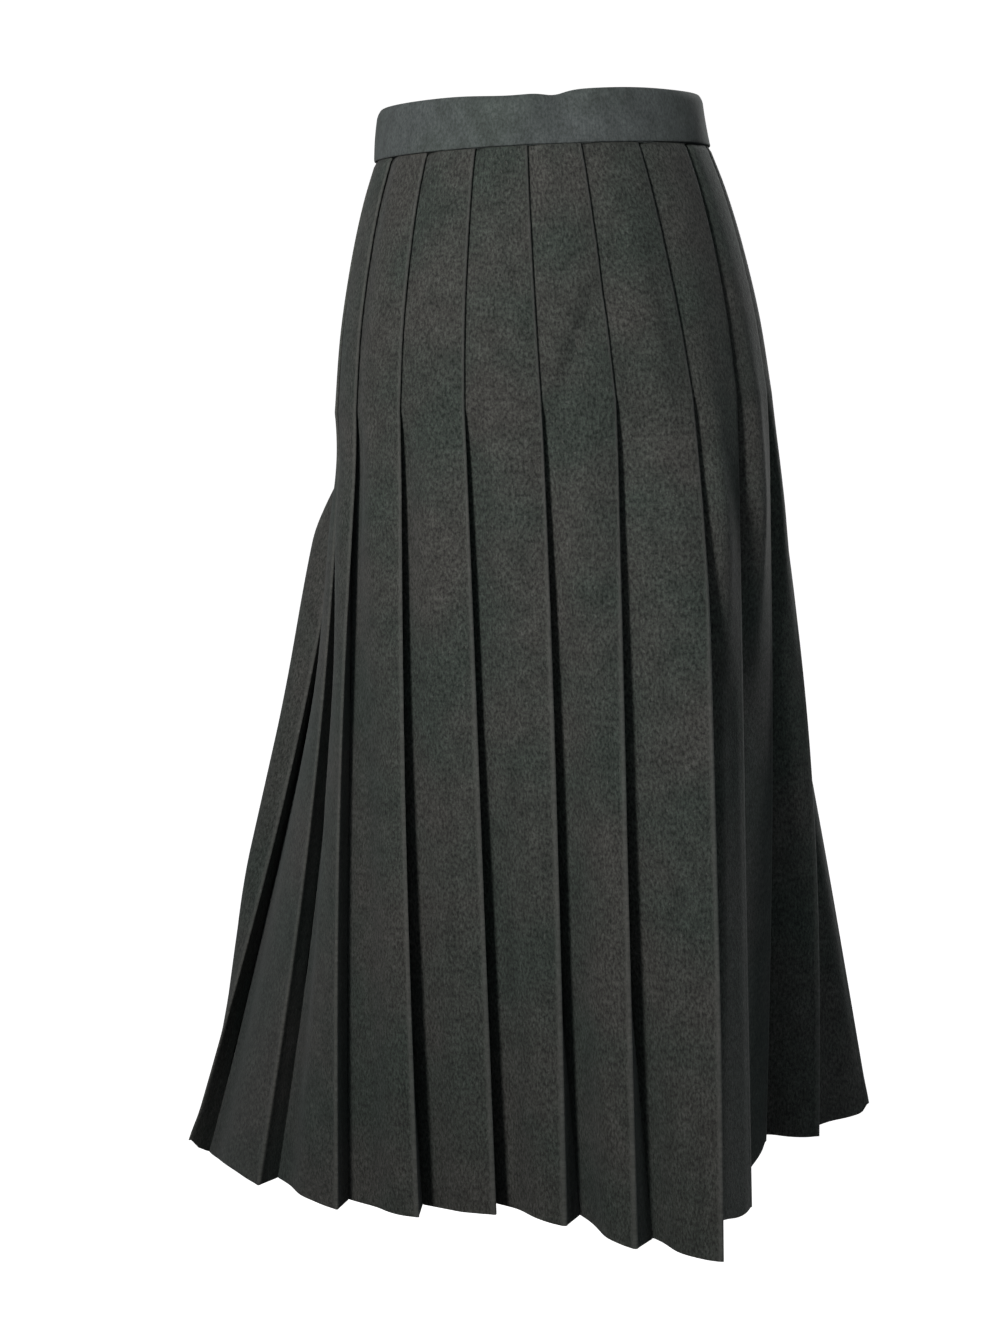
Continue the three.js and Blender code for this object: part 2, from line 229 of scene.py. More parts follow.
# Soft ridges and troughs that run down the free panels: the panel's pleat, where across it, from where to
# where, how wide as a share of the panel, how far out, and how far it leans across in its own length. Each
# comes in over the first share of its length and goes out between the other two, and towards the panel's edges
# by a sine to this power.
CREASE_IN = 0.35
CREASE_OUT = (0.9, 1.5)
CREASE_EDGE = 0.7
Crease = namedtuple("Crease", "pleat across top foot wide out lean")
CREASES = (
    Crease(0, 0.45, 0.40, 0.78, 0.24, 0.0018, 0.05),
    Crease(1, 0.55, 0.36, 0.77, 0.18, 0.0022, -0.08),
    Crease(2, 0.40, 0.40, 0.78, 0.22, -0.0022, 0.06),
    Crease(3, 0.60, 0.33, 0.70, 0.18, 0.0018, 0.05),
    Crease(4, 0.35, 0.45, 0.79, 0.24, -0.0026, -0.06),
    Crease(5, 0.30, 0.28, 0.52, 0.20, -0.0030, 0.15),
    Crease(5, 0.65, 0.50, 0.80, 0.20, 0.0020, -0.05),
    Crease(6, 0.40, 0.42, 0.80, 0.26, 0.0028, 0.04),
    Crease(7, 0.28, 0.30, 0.79, 0.30, 0.0050, 0.00),
    Crease(8, 0.30, 0.34, 0.78, 0.26, 0.0040, 0.05),
    Crease(9, 0.35, 0.36, 0.78, 0.24, -0.0040, 0.00),
    Crease(10, 0.40, 0.42, 0.78, 0.20, -0.0035, 0.08),
    Crease(11, 0.60, 0.40, 0.78, 0.20, 0.0030, -0.05),
    Crease(12, 0.45, 0.34, 0.72, 0.22, -0.0035, 0.06),
    Crease(13, 0.50, 0.44, 0.78, 0.24, 0.0030, 0.04),
    Crease(14, 0.40, 0.38, 0.76, 0.20, -0.0030, -0.06),
    Crease(15, 0.60, 0.42, 0.78, 0.22, 0.0030, 0.05),
    Crease(16, 0.45, 0.36, 0.77, 0.20, -0.0040, 0.08),
    Crease(17, 0.40, 0.44, 0.78, 0.20, 0.0015, 0.00),
)

# The photo's camera, worked out from the waistband's width and the hem
CAMERA_PLACE = Vector((0.0487, 2.26, -0.221))
CAMERA_PITCH = math.radians(5.0)
CAMERA_ROLL = math.radians(2.6)
FOCAL_PIXELS = 3000.0
PHOTO_HEIGHT = 1333.0
SENSOR_HEIGHT = 24.0

# The studio's bowl: how far down its floor is, and the rise and radius of its rings
FLOOR_DEPTH = 1.06
FLOOR_SIDES = 64
FLOOR_RINGS = (
    (0.0, 3.0),
    (0.0, 6.0),
    (0.4, 8.0),
    (1.6, 9.5),
    (4.0, 10.2),
    (7.0, 9.0),
    (9.0, 5.0),
    (9.6, 0.1),
)

# Its lamps: where each is, what it points at, its size, its power, how far it spreads and its colour
Lamp = namedtuple("Lamp", "name place aim size power spread colour")
LAMPS = (
    Lamp("key_light", (1.16, 2.35, 0.62), (0.0, 0.1, -0.10), 0.5, 5.5, 54.0, (1.0, 1.0, 0.98)),
    Lamp("soft_light", (0.0, 1.8, 2.0), (0.0, 0.1, -0.1), 1.2, 0.9, 66.0, (0.8, 0.95, 1.0)),
    Lamp("window_light", (-1.7, 1.2, -0.5), (-0.25, 0.0, -0.75), 0.8, 0.4, 50.0, (0.85, 0.95, 1.0)),
    Lamp("front_light", (-1.5, -2.1, 0.6), (0.0, -0.1, -0.2), 0.8, 4.5, 54.0, (1.0, 1.0, 0.98)),
)

# The wool's grain, in features to the metre
PATCHES = 11.0
MOTTLE = 95.0
HAIRS = 620.0
LIGHT_HAIRS = 540.0
DARK_HAIRS = 480.0
NAP = 1300.0
TUFTS = 420.0


def lerp(a, b, t):
    return a + (b - a) * t


def smoothstep(x, low, high):
    t = min(1.0, max(0.0, (x - low) / (high - low)))
    return t * t * (3 - 2 * t)


def bump(x):
    """A smooth hump that is 1 at 0."""
    return math.exp(-x * x)


# The pleats' geometry


def pleat(i):
    """The row of pleat i, counted on past the table's ends."""
    turns = i // COUNT
    row = PLEATS[i - turns * COUNT]
    return row._replace(waist=row.waist + 360 * turns, release=row.release + 360 * turns)


def between(k, name):
    """A value of the table in a straight line between two rows."""
    i = math.floor(k)
    return lerp(getattr(pleat(i), name), getattr(pleat(i + 1), name), k - i)


def smooth(k, name):
    """A value of the table on a smooth curve through its rows."""
    i = math.floor(k)
    s = k - i
    a, b, c, d = (getattr(PLEATS[(i + step) % COUNT], name) for step in (-1, 0, 1, 2))
    return b + 0.5 * s * (c - a + s * (2 * a - 5 * b + 4 * c - d + s * (3 * (b - c) + d - a)))


def through(rows, x, column):
    """A column of a table of rows at x, its first column, on a smooth curve."""
    n = max(i for i in range(len(rows) - 1) if rows[i][0] <= x or i == 0)
    (x0, y0), (x1, y1) = ((rows[n + e][0], rows[n + e][column]) for e in (0, 1))
    slope = (y1 - y0) / (x1 - x0)

    def tangent(m):
        if m <= 0 or m >= len(rows) - 1:
            return slope
        return (rows[m + 1][column] - rows[m - 1][column]) / (rows[m + 1][0] - rows[m - 1][0])

    t = (x - x0) / (x1 - x0)
    h = x1 - x0
    m0, m1 = tangent(n) * h, tangent(n + 1) * h
    t2, t3 = t * t, t * t * t
    return (2 * t3 - 3 * t2 + 1) * y0 + (t3 - 2 * t2 + t) * m0 + (3 * t2 - 2 * t3) * y1 + (t3 - t2) * m1


Level = namedtuple("Level", "down width depth flare open")


def level_at(down):
    """The body's ellipse so far down, how far it has flared out, and its share of the free length."""
    if down <= RELEASE:
        return Level(down, through(HIP_LEVELS, down, 1), through(HIP_LEVELS, down, 2), 0.0, 0.0)
    free = (down - RELEASE) / (HEM - RELEASE)
    run = free * free / (2 * EASE) if free < EASE else free - EASE / 2
    return Level(down, HIP_LEVELS[-1][1], HIP_LEVELS[-1][2], run / (1 - EASE / 2), free)


def base(level, k):
    """A point of the smooth curve that the outer folds stand on."""
    along = min(1.0, (level.down - BAND_HEIGHT) / (RELEASE - BAND_HEIGHT))
    angle = math.radians(lerp(between(k, "waist"), between(k, "release"), along))
    bow = smooth(k, "bow") * math.sin(math.pi * level.open)
    return Vector((
        lerp(level.width * math.cos(angle), smooth(k, "x"), level.flare) + bow,
        lerp(level.depth * math.sin(angle), smooth(k, "y"), level.flare),
    ))


def apart(k, other):
    """How many pleats one place is past another, the shorter way round."""
    return (k - other + COUNT / 2) % COUNT - COUNT / 2


def form_at(level, k):
    """How far the broad forms move the layered cloth out here."""
    total = 0.0
    for form in FORMS:
        lower = (level.down - form.down) / form.tall
        total += form.out * bump((apart(k, form.k) - form.lean * lower) / form.wide) * bump(lower)
    top = BAND_HEIGHT + SEAM
    tucked = SEAM_TUCK * (1 - smoothstep(level.down, top, top + SEAM_ROWS[-1]))
    return total * smoothstep(level.down, BAND_HEIGHT, BAND_HEIGHT + FORMS_IN) - tucked


def outwards_at(level, k):
    """The way straight out of the smooth curve."""
    step = 0.02
    along = (base(level, k + step) - base(level, k - step)).normalized()
    return Vector((along.y, -along.x))


def on_base(level, k, out):
    """A point so far out of the smooth curve."""
    return base(level, k) + outwards_at(level, k) * out


def looseness(level):
    """0 where the pleats are pressed flat and 1 where they hang free."""
    return smoothstep(level.open, 0, LOOSE_BY)


def bulge(level, i):
    """How far a free panel curves out between its folds: as its row says, and less towards the hem."""
    row = pleat(i)
    even = min(row.bulge, BULGE_AT_HEM)
    out = lerp(row.bulge, even, smoothstep(level.open, HANGS_EVEN_FROM, 1))
    return out * smoothstep(level.open, 0, BULGE_BY)


def hump(s):
    """The curve of a free panel, s running from 0 to 1 across it: 1 at its highest, two thirds of the way."""
    return 27 / 4 * s * s * (1 - s)


Under = namedtuple("Under", "k out tip middle")


def under_fold(level, i):
    """The part of pleat i that folds under: its end as a place and a depth, and its end and middle points."""
    row = pleat(i)
    length = lerp(PLEAT_DEPTH, row.under, level.open)
    angle = math.radians(row.turn) * level.open**OPENING
    forward = 1 if math.cos(angle) < 0 else 0
    spacing = (base(level, i + forward) - base(level, i + forward - 1)).length
    k = i - length * math.cos(angle) / spacing
    out = -1.5 * LAYER - length * math.sin(angle)
    tip = on_base(level, k, out)
    straight = on_base(level, i, -LAYER / 2).lerp(tip, 0.5)
    curved = on_base(level, lerp(i, k, 0.5), out / 2 - LAYER / 4)
    return Under(k, out, tip, curved.lerp(straight, looseness(level)))


def fold_tip(tip, start, end, side, depth):
    """A fold's rounded tip as its two sides and the tip between them."""
    a = (start - tip).normalized()
    b = (end - tip).normalized()
    inwards = (a + b).normalized()
    half = min(math.acos(max(-1.0, min(1.0, a.dot(inwards)))), WIDEST_FOLD)
    half_gap = max(LAYER / 2, depth * math.tan(half))
    across = Vector((-inwards.y, inwards.x)) * side * half_gap
    back = tip + inwards * depth
    return back + across, tip, back - across


def round_tip(side_a, tip, side_b, steps):
    """Points of a smooth curve round a fold's tip, between its two sides."""
    pull = tip * 2 - (side_a + side_b) / 2
    points = []
    for n in range(1, steps):
        t = n / steps
        points.append(side_a * (1 - t) ** 2 + pull * 2 * t * (1 - t) + side_b * t * t)
    return points


def curve_through(points, steps):
    """Points of a smooth curve through points, with steps to each stretch and both ends."""
    made = []
    for n in range(len(points) - 1):
        b, c = points[n], points[n + 1]
        a = points[n - 1] if n > 0 else b * 2 - c
        d = points[n + 2] if n + 2 < len(points) else c * 2 - b
        for m in range(steps):
            s = m / steps
            bend = (a * 2 - b * 5 + c * 4 - d) + ((b - c) * 3 + d - a) * s
            made.append(b + ((c - a) + bend * s) * s * 0.5)
    made.append(points[-1])
    return made


def crease_at(i, across, down):
    """How far a free panel's ridges and troughs move it out at a share of its width."""
    total = 0.0
    for crease in CREASES:
        if crease.pleat != i % COUNT or not crease.top < down:
            continue
        run = (down - crease.top) / (crease.foot - crease.top)
        fade = smoothstep(run, 0, CREASE_IN) * (1 - smoothstep(run, *CREASE_OUT))
        total += crease.out * fade * bump((across - crease.across - crease.lean * (run - 0.5)) / crease.wide)
    return total


# A point of the cloth's middle line, the pleat that it stands at, and its place along the cloth in pleats
Spot = namedtuple("Spot", "at k along")


def pleat_line(level, i, panel_steps, tip_steps):
    """Pleat i at one level, from its inner to its outer fold, and the parts that fold under beside it."""
    before = under_fold(level, i - 1)
    under = under_fold(level, i)
    outer_tip = on_base(level, i, -LAYER / 2)
    length = i - before.k
    clear = (i - 1 - before.k) / length
    risen = max((under.k - before.k) / length, clear)
    pressed = (
        (clear + PRESSED_CLEAR, 0.0),
        (lerp(clear, risen, 0.5), 0.5),
        (risen, 1.0),
        (lerp(risen, 1, 0.5), 1.0),
    )
    across = outer_tip - before.tip
    outwards = Vector((across.y, -across.x)).normalized()
    loose = looseness(level)
    panel = []
    for (share, rise), s in zip(pressed, PANEL_OPEN):
        flat = on_base(level, lerp(before.k, i, share), lerp(before.out - LAYER / 2, 0, rise))
        hanging = before.tip + across * s
        panel.append(flat.lerp(hanging, loose) + outwards * (hump(s) * bulge(level, i)))
    depth = lerp(TIP, SOFT_TIP, loose)
    entry, inner, inner_side = fold_tip(before.tip, before.middle, panel[0], -1, depth)
    outer_side, outer, leave = fold_tip(outer_tip, panel[3], under.middle, 1, depth)
    line = curve_through([inner_side, *panel, outer_side], panel_steps)
    reach = sum((q - p).length for p, q in zip(line, line[1:]))
    gone = 0.0
    creased = []
    for n, at in enumerate(line):
        gone += (at - line[n - 1]).length if n else 0.0
        share = gone / reach
        ends = math.sin(math.pi * share) ** CREASE_EDGE if 0 < n < len(line) - 1 else 0.0
        out = crease_at(i, share, level.down) * loose * ends
        creased.append(Spot(at + outwards * out, lerp(before.k, i, share), i + lerp(*PANEL_AT, share)))
    spots = [Spot(at, before.k, i + INNER_AT) for at in round_tip(entry, inner, inner_side, tip_steps)]
    spots += creased
    spots += [Spot(at, i, i + FOLD_AT) for at in round_tip(outer_side, outer, leave, tip_steps)]
    return entry, leave, spots, before, under


def piece_line(level, cut, panel_steps, tip_steps):
    """The middle line of a cut piece at one level, with half of a folded part at each end."""
    spots = []
    end = cut.first + cut.pleats
    lines = {i: pleat_line(level, i, panel_steps, tip_steps) for i in range(cut.first - 1, end + 1)}
    for i in range(cut.first, end):
        entry, leave, line, before, under = lines[i]
        if i == cut.first:
            start = before.middle + (entry - lines[i - 1][1]).normalized() * (SEAM / 2)
            spots.append(Spot(start, lerp(i - 1, before.k, 0.5), i - 1 + MIDDLE_AT))
        spots.append(Spot(entry, before.k, i))
        spots += line
        spots.append(Spot(leave, i, i + UNDER_AT))
        middle = under.middle
        if i == end - 1:
            middle = middle - (lines[i + 1][0] - leave).normalized() * (SEAM / 2)
        spots.append(Spot(middle, lerp(i, under.k, 0.5), i + MIDDLE_AT))
    return [s._replace(at=s.at + outwards_at(level, s.k) * form_at(level, s.k)) for s in spots]


def hang_at(along, down):
    """How much lower the cloth hangs here than its row says."""
    total = 0.0
    for hang in HANGS:
        near = bump(apart(along, hang.along) / hang.wide)
        total += hang.lower * near * smoothstep(down, HEM - hang.tall, HEM)
    return total


def offset_line(points, distance):
    """Moves an open line sideways, outwards for a positive distance."""
    moved = []
    for n, p in enumerate(points):
        a = (p - points[n - 1]).normalized() if n else (points[1] - p).normalized()
        b = (points[n + 1] - p).normalized() if n + 1 < len(points) else a
        along = (a + b).normalized()
        reach = distance / max(0.5, along.dot(a))
        moved.append(p + Vector((along.y, -along.x)) * reach)
    return moved


# Mesh helpers


def add_object(name, verts, faces, uvs=None, groups=None):
    """Makes a smooth piece; the edges between faces of different groups are sharp."""
    mesh = bpy.data.meshes.new(name)
    mesh.from_pydata([tuple(v) for v in verts], [], faces)
    if uvs is not None:
        layer = mesh.uv_layers.new(name="cloth")
        for loop in mesh.loops:
            layer.data[loop.index].uv = uvs[loop.vertex_index]
    mesh.update()
    mesh.shade_smooth()
    if groups is not None:
        beside = {}
        for face, group in zip(mesh.polygons, groups):
            for key in face.edge_keys:
                beside.setdefault(key, set()).add(group)
        for edge in mesh.edges:
            edge.use_edge_sharp = len(beside[edge.key]) > 1
    piece = bpy.data.objects.new(name, mesh)
    bpy.context.scene.collection.objects.link(piece)
    return piece


def finish_piece(piece, material, slot, *nodes):
    """Gives a piece its material and its body, and hides the solids that it stands for."""
    piece.data.materials.append(material)
    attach(piece, "root")
    if nodes:
        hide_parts(*nodes)


def loft(sections):
    """Faces of a closed wall and the side that each is on.

    Each section is a closed loop, its first half outside and its second half inside.
    """
    around = len(sections[0])
    half = around // 2
    faces, groups = [], []
    for r in range(len(sections) - 1):
        for n in range(around):
            m = (n + 1) % around
            faces.append((r * around + n, (r + 1) * around + n, (r + 1) * around + m, r * around + m))
            groups.append("end" if m in (0, half) else "wall")
    for row, flip in ((0, False), (len(sections) - 1, True)):
        for n in range(half - 1):
            ring = [row * around + v for v in (n, n + 1, around - 2 - n, around - 1 - n)]
            faces.append(tuple(reversed(ring)) if flip else tuple(ring))
            groups.append("rim")
    return faces, groups


def strand(path, radius, sides=6):
    """A closed thread along a path of points, as vertices and faces."""
    verts, faces = [], []
    for n, p in enumerate(path):
        before, after = path[max(0, n - 1)], path[min(len(path) - 1, n + 1)]
        along = (after - before).normalized()
        across = along.cross(Vector((0.21, 0.34, 0.91))).normalized()
        other = along.cross(across)
        for m in range(sides):
            turn = 2 * math.pi * m / sides
            verts.append(p + (across * math.cos(turn) + other * math.sin(turn)) * radius)
    for n in range(len(path) - 1):
        for m in range(sides):
            q = (m + 1) % sides
            faces.append((n * sides + m, n * sides + q, (n + 1) * sides + q, (n + 1) * sides + m))
    faces.append(tuple(reversed(range(sides))))
    faces.append(tuple((len(path) - 1) * sides + m for m in range(sides)))
    return verts, faces


def join(parts):
    """Joins parts, each given as vertices and faces."""
    verts, faces = [], []
    for part_verts, part_faces in parts:
        start = len(verts)
        verts += part_verts
        faces += [tuple(start + v for v in face) for face in part_faces]
    return verts, faces


# Materials


def new_material(name):
    material = bpy.data.materials.new(name)
    material.use_nodes = True
    tree = material.node_tree
    return material, tree, tree.nodes["Principled BSDF"]


def feed(tree, value, socket):
    """Links another node's output to a socket, or sets its number or colour."""
    if isinstance(value, bpy.types.NodeSocket):
        tree.links.new(value, socket)
    else:
        socket.default_value = value if isinstance(value, float) else (*value, 1.0)


def colour_mix(tree, factor, a, b, blend="MIX"):
    node = tree.nodes.new("ShaderNodeMix")
    node.data_type = "RGBA"
    node.blend_type = blend
    for value, place in ((factor, 0), (a, 6), (b, 7)):
        feed(tree, value, node.inputs[place])
    return node.outputs[2]


def ramp(tree, source, *stops):
    """Greys from stops of place and value."""
    node = tree.nodes.new("ShaderNodeValToRGB")
    elements = node.color_ramp.elements
    while len(elements) < len(stops):
        elements.new(0.5)
    for element, (place, value) in zip(elements, stops):
        element.position = place
        element.color = (value, value, value, 1.0)
    tree.links.new(source, node.inputs[0])
    return node.outputs[0]


def math_node(tree, operation, *values):
    node = tree.nodes.new("ShaderNodeMath")
    node.operation = operation
    for value, socket in zip(values, node.inputs):
        feed(tree, value, socket)
    return node.outputs[0]


def noise(tree, vector, scale, detail=2.0, stretch=None, roughness=0.5):
    """Noise of so many features to the metre, drawn out along the cloth by stretch."""
    mapping = tree.nodes.new("ShaderNodeMapping")
    x, y = stretch or (1.0, 1.0)
    mapping.inputs["Scale"].default_value = (x, y, 1.0)
    tree.links.new(vector, mapping.inputs["Vector"])
    node = tree.nodes.new("ShaderNodeTexNoise")
    node.inputs["Scale"].default_value = scale
    node.inputs["Detail"].default_value = detail
    node.inputs["Roughness"].default_value = roughness
    tree.links.new(mapping.outputs["Vector"], node.inputs["Vector"])
    return node.outputs[0]


def direction(tree, around, towards):
    """How far a direction points one way, from 0 straight away to 1 straight at it."""
    dot = tree.nodes.new("ShaderNodeVectorMath")
    dot.operation = "DOT_PRODUCT"
    tree.links.new(around, dot.inputs[0])
    dot.inputs[1].default_value = towards.normalized()
    return math_node(tree, "MULTIPLY_ADD", dot.outputs["Value"], 0.5, 0.5)


def wool_material(name, look, middle, cast, smoothness):
    """Marled wool: fine light and dark hairs along the grain over a soft mottling, with a brushed surface, and
    on the pleated cloth a painted highlight along the outer folds' edges.
    """
    material, tree, shader = new_material(name)
    uv = tree.nodes.new("ShaderNodeUVMap")
    uv.uv_map = "cloth"
    cloth = uv.outputs[0]
    grain = 1 - smoothness
    fleck = look.fleck * grain
    patches = ramp(tree, noise(tree, cloth, PATCHES, 3.0), (0.38, 0.0), (0.62, 1.0))
    body = colour_mix(tree, patches, cast, middle)
    mottle = ramp(tree, noise(tree, cloth, MOTTLE, 3.0, (1.0, 0.6)), (0.30, 0.80), (0.70, 1.20))
    body = colour_mix(tree, 1.0, body, mottle, "MULTIPLY")
    hairs = noise(tree, cloth, HAIRS, 3.0, (1.0, 0.5), 0.7)
    hairs = ramp(tree, hairs, (0.36, 1 - 0.55 * grain), (0.64, 1 + 0.60 * grain))
    body = colour_mix(tree, 1.0, body, hairs, "MULTIPLY")
    light_hairs = noise(tree, cloth, LIGHT_HAIRS, 2.0, (1.1, 0.42), 0.7)
    body = colour_mix(tree, ramp(tree, light_hairs, (0.60, 0.0), (0.72, fleck)), body, look.light)
    dark_hairs = noise(tree, cloth, DARK_HAIRS, 2.0, (1.1, 0.5), 0.7)
    body = colour_mix(tree, ramp(tree, dark_hairs, (0.30, fleck), (0.40, 0.0)), body, look.dark)
    # The pleated cloth gets a painted highlight along its outer folds' edges, for the light that their rounded
    # edges catch
    if smoothness == 0:
        body = colour_mix(tree, fold_edge_highlight(tree, cloth, look.fold_highlight), body, look.light)
    tree.links.new(body, shader.inputs["Base Color"])
    shader.inputs["Roughness"].default_value = 0.92
    shader.inputs["Specular IOR Level"].default_value = 0.18
    shader.inputs["Sheen Weight"].default_value = look.sheen
    shader.inputs["Sheen Roughness"].default_value = 0.55
    shader.inputs["Sheen Tint"].default_value = (0.75, 0.78, 0.8, 1.0)
    nap = noise(tree, cloth, NAP, 2.0, (1.0, 0.6))
    tufts = noise(tree, cloth, TUFTS, 2.0, (1.0, 0.7))
    relief = tree.nodes.new("ShaderNodeBump")
    relief.inputs["Strength"].default_value = 0.45 * grain
    relief.inputs["Distance"].default_value = 0.0006
    tree.links.new(math_node(tree, "ADD", nap, tufts), relief.inputs["Height"])
    tree.links.new(relief.outputs[0], shader.inputs["Normal"])
    return material


def fold_edge_highlight(tree, cloth, strength):
    """Where the outer folds' edges get a painted highlight, standing in for the light that their rounded edges
    catch.
    """
    place = tree.nodes.new("ShaderNodeSeparateXYZ")
    tree.links.new(cloth, place.inputs[0])
    pleats = math_node(tree, "DIVIDE", place.outputs[0], PLEAT_CLOTH)
    along = math_node(tree, "FRACT", pleats)
    away = math_node(tree, "ABSOLUTE", math_node(tree, "SUBTRACT", along, FOLD_AT))
    return ramp(tree, away, (0.008, strength), (0.028, 0.0))


def horn_material():
    material, tree, shader = new_material("button_horn")
    place = tree.nodes.new("ShaderNodeTexCoord").outputs["Object"]
    streaks = ramp(tree, noise(tree, place, 260.0, 4.0, (1.0, 0.3)), (0.35, 0.0), (0.7, 1.0))
    horn = colour_mix(tree, streaks, (0.010, 0.008, 0.007), (0.05, 0.036, 0.026))
    tree.links.new(horn, shader.inputs["Base Color"])
    shader.inputs["Roughness"].default_value = 0.32
    shader.inputs["Specular IOR Level"].default_value = 0.5
    return material


def thread_material():
    material, tree, shader = new_material("thread_dark")
    place = tree.nodes.new("ShaderNodeTexCoord").outputs["Object"]
    twist = ramp(tree, noise(tree, place, 2200.0, 2.0), (0.3, 0.0), (0.7, 1.0))
    thread = colour_mix(tree, twist, (0.012, 0.013, 0.014), (0.05, 0.053, 0.056))
    tree.links.new(thread, shader.inputs["Base Color"])
    shader.inputs["Roughness"].default_value = 0.7
    return material


def floor_material():
    material, tree, shader = new_material("studio_paper")
    place = tree.nodes.new("ShaderNodeTexCoord").outputs["Object"]
    fibre = ramp(tree, noise(tree, place, 3.0, 3.0), (0.3, 0.0), (0.7, 1.0))
    paper = colour_mix(tree, fibre, (0.90, 0.90, 0.89), (0.93, 0.93, 0.925))
    tree.links.new(paper, shader.inputs["Base Color"])
    shader.inputs["Roughness"].default_value = 0.9
    shader.inputs["Emission Color"].default_value = (1.0, 1.0, 1.0, 1.0)
    shader.inputs["Emission Strength"].default_value = 1.0
    return material


# Settings


class SkirtCloth(bpy.types.PropertyGroup):
    """Sizes of the cloth shells"""

    row_step: FloatProperty(
        name="Row step",
        description="Height of one row of cloth faces",
        default=0.006,
        unit="LENGTH",
        min=0.003,
    )
    panel_steps: IntProperty(
        name="Panel steps", description="Faces across each stretch of a panel", default=3, min=1
    )
    tip_steps: IntProperty(name="Fold steps", description="Faces round each fold", default=4, min=2)
    dent: FloatProperty(
        name="Waist dent",
        description="How far the waistband dips in over the spine",
        default=0.0055,
        unit="LENGTH",
        min=0,
    )


class SkirtLook(bpy.types.PropertyGroup):
    """Colours of the wool"""

    dark: FloatVectorProperty(
        name="Dark", description="Tone of the dark hairs", subtype="COLOR", default=(0.012, 0.013, 0.013)
    )
    middle: FloatVectorProperty(
        name="Middle", description="Main tone of the wool", subtype="COLOR", default=(0.0525, 0.0515, 0.0475)
    )
    light: FloatVectorProperty(
        name="Light", description="Tone of the light hairs", subtype="COLOR", default=(0.13, 0.13, 0.122)
    )
    cast: FloatVectorProperty(
        name="Cast",
        description="Greener tone of some patches",
        subtype="COLOR",
        default=(0.0375, 0.0450, 0.0393),
    )
    band: FloatVectorProperty(
        name="Band",
        description="Main tone of the pressed waistband",
        subtype="COLOR",
        default=(0.077, 0.086, 0.086),
    )
    band_cast: FloatVectorProperty(
        name="Band cast",
        description="Greener tone of its patches",
        subtype="COLOR",
        default=(0.066, 0.077, 0.072),
    )
    fleck: FloatProperty(
        name="Flecks", description="Strength of the hairs' colour", default=0.55, subtype="FACTOR"
    )
    # Strength of the painted highlight along the outer folds' edges, for the light that their rounded edges
    # catch
    fold_highlight: FloatProperty(
        name="Painted fold highlight", description="How much lighter the folds' edges are", default=0.35, subtype="FACTOR"
    )
    sheen: FloatProperty(name="Sheen", description="Soft glow of the nap", default=0.12, subtype="FACTOR")


# Pieces


class SKIRT_OT_cloth(bpy.types.Operator):
    """Makes the four pleated pieces of the skirt"""

    bl_idname = "skirt.cloth"
    bl_label = "Pleated cloth"

    def execute(self, context):
        sizes = context.scene.skirt_cloth
        look = context.scene.skirt_look
        wool = wool_material("skirt_wool", look, look.middle, look.cast, 0.0)
        top = BAND_HEIGHT + SEAM
        for cut in CUT:
            stitched = max(2, round((RELEASE - top) / sizes.row_step))
            free = max(2, round((HEM - RELEASE) / sizes.row_step))
            downs = [top, *(top + row for row in SEAM_ROWS)]
            downs += [lerp(top, RELEASE, n / stitched) for n in range(1, stitched)]
            downs += [lerp(RELEASE, HEM, n / free) for n in range(free + 1)]
            self.make(cut, downs, sizes, wool)
        return {"FINISHED"}

    def make(self, cut, downs, sizes, wool):
        sections, uvs = [], []
        for down in downs:
            level = level_at(down)
            spots = piece_line(level, cut, sizes.panel_steps, sizes.tip_steps)
            middle = [s.at for s in spots]
            drops = [max(0.0, smooth(s.k, "drop")) * level.open + hang_at(s.along, down) for s in spots]
            heights = [-down - drop for drop in drops]
            outer = [Vector((p.x, p.y, z)) for p, z in zip(offset_line(middle, CLOTH / 2), heights)]
            inner = [Vector((p.x, p.y, z)) for p, z in zip(offset_line(middle, -CLOTH / 2), heights)]
            sections.append(outer + inner[::-1])
            places = [(s.along * PLEAT_CLOTH, -down) for s in spots]
            uvs += places + places[::-1]
        verts = [v for section in sections for v in section]
        faces, groups = loft(sections)
        piece = add_object(cut.name, verts, faces, uvs, groups)
        finish_piece(piece, wool, "skirt_wool", cut.node)


def band_point(angle, down, out, dent):
    """A point of the waistband's outer face at an angle in radians, moved out."""
    share = down / BAND_HEIGHT
    a, b = (lerp(t, f, share) for t, f in zip(BAND_TOP, BAND_FOOT))
    normal = Vector((b * math.cos(angle), a * math.sin(angle), 0)).normalized()
    turn = (math.degrees(angle) % 360) - SPINE
    hollow = dent * bump((turn - HOLLOW_AT) / HOLLOW_WIDE) * (1 - HOLLOW_LESS_AT_FOOT * share)
    wave = sum(w.out * math.sin(w.times * angle + w.start) for w in BAND_WAVES)
    dip = sum(d.lower * bump((turn - d.at) / d.wide) for d in BAND_DIPS)
    at = Vector((a * math.cos(angle), b * math.sin(angle), -down - dip * (1 - share)))
    roll = BAND_ROLL * max(0.0, 1 - down / BAND_ROLL_HEIGHT) ** 2
    return at + normal * (out - hollow - roll + wave * math.sin(math.pi * share))


